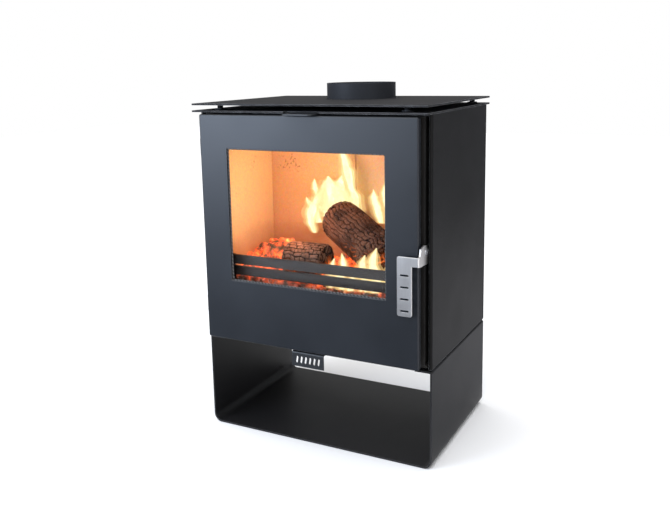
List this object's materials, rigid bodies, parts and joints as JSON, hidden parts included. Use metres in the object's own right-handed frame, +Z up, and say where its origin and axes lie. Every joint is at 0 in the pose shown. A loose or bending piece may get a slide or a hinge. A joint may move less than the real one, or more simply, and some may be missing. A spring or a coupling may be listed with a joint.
{
  "type": "wood burning stove",
  "caption": "Freestanding steel wood burning stove on an open log store, with a windowed door, lift-out handle, two air controls and a top flue collar.",
  "frame": {"origin": "middle of the log store's underside, on the floor", "axes": "+Z up, -Y out of the door, +X towards the handle side"},
  "size_m": [0.444, 0.346, 0.635],
  "materials": {
    "casing": "heat-resistant stove paint, satin",
    "log_store": "heat-resistant stove paint, satin",
    "top_plates": "heat-resistant stove paint, matt",
    "collar": "heat-resistant stove paint, matt",
    "door": "heat-resistant stove paint, satin",
    "firebox_steel": "heat-dulled matt",
    "cast_iron": "as cast, heat-dulled",
    "retainer_steel": "heat-dulled matt",
    "slider_steel": "heat-resistant stove paint, satin",
    "stainless": "satin, bright bevelled edges",
    "bright_fixings": "zinc plated",
    "black_fixings": "black oxide",
    "firebrick": "pressed vermiculite board, matt, speckled",
    "glass": "clear ceramic glass",
    "rope_seal": "braided glass-fibre rope",
    "log_bark": "charred and checked",
    "embers": "glowing",
    "flame": "glowing"
  },
  "bodies": {
    "stove": {"airwash_deflector": "firebox_steel", "ash_pan": "retainer_steel", "back_brick_left": "firebrick", "back_brick_right": "firebrick", "back_panel": "casing", "back_panel_screws": "black_fixings", "baffle": "firebrick", "base_plate": "firebox_steel", "body_bolts": "black_fixings", "body_washers": "bright_fixings", "bottom_slider_guides": "slider_steel", "brick_carrier": "firebox_steel", "collar_bolts": "black_fixings", "ember_bed": "embers", "firebox_back": "firebox_steel", "firebox_left": "firebox_steel", "firebox_right": "firebox_steel", "firebox_top": "firebox_steel", "flue_collar": "collar", "front_frame": "casing", "fuel_retainer": "retainer_steel", "grate": "cast_iron", "grate_shelf": "firebox_steel", "hinge_bolts": "black_fixings", "hinge_bracket_lower": "firebox_steel", "hinge_bracket_upper": "firebox_steel", "hinge_pin_lower": "bright_fixings", "hinge_pin_upper": "bright_fixings", "latch_bracket": "firebox_steel", "latch_pin": "bright_fixings", "log_lower": "log_bark", "log_store": "log_store", "log_upper": "log_bark", "lower_top_plate": "top_plates", "side_brick_left": "firebrick", "side_brick_right": "firebrick", "side_panel_left": "casing", "side_panel_right": "casing", "top_plate_spacers": "top_plates", "top_slider_guides": "slider_steel", "upper_top_plate": "top_plates"},
    "door": {"door_panel": "door", "door_inner_frame": "door", "door_glass": "glass", "glass_gasket": "rope_seal", "glass_clips": "black_fixings", "glass_clip_screws": "black_fixings", "door_rope_seal": "rope_seal", "hinge_lug_lower": "door", "hinge_lug_upper": "door", "handle_lug": "door", "handle_washer": "bright_fixings", "handle_pivot_screw": "bright_fixings"},
    "handle": {"door_handle": "stainless"},
    "top_air_control": {"top_air_slider": "slider_steel"},
    "bottom_air_control": {"bottom_air_slider": "slider_steel"},
    "catch_roller": {"latch_roller": "bright_fixings"}
  },
  "joints": [
    {"name": "door_swing", "type": "hinge", "parent": "stove", "child": "door", "pos_m": [-0.211, -0.153, 0.38], "axis": [0, 0, -1], "range_deg": [0, 115]},
    {"name": "handle_lift", "type": "hinge", "parent": "door", "child": "handle", "pos_m": [0.211, -0.153, 0.374], "axis": [-1, 0, 0], "range_deg": [0, 50]},
    {"name": "top_air_pull", "type": "slide", "parent": "stove", "child": "top_air_control", "axis": [0, -1, 0], "range_m": [0, 0.012]},
    {"name": "bottom_air_pull", "type": "slide", "parent": "stove", "child": "bottom_air_control", "axis": [0, -1, 0], "range_m": [0, 0.012]},
    {"name": "roller_spin", "type": "hinge", "parent": "stove", "child": "catch_roller", "pos_m": [0.2125, -0.136, 0.372], "axis": [1, 0, 0], "continuous": true}
  ]
}
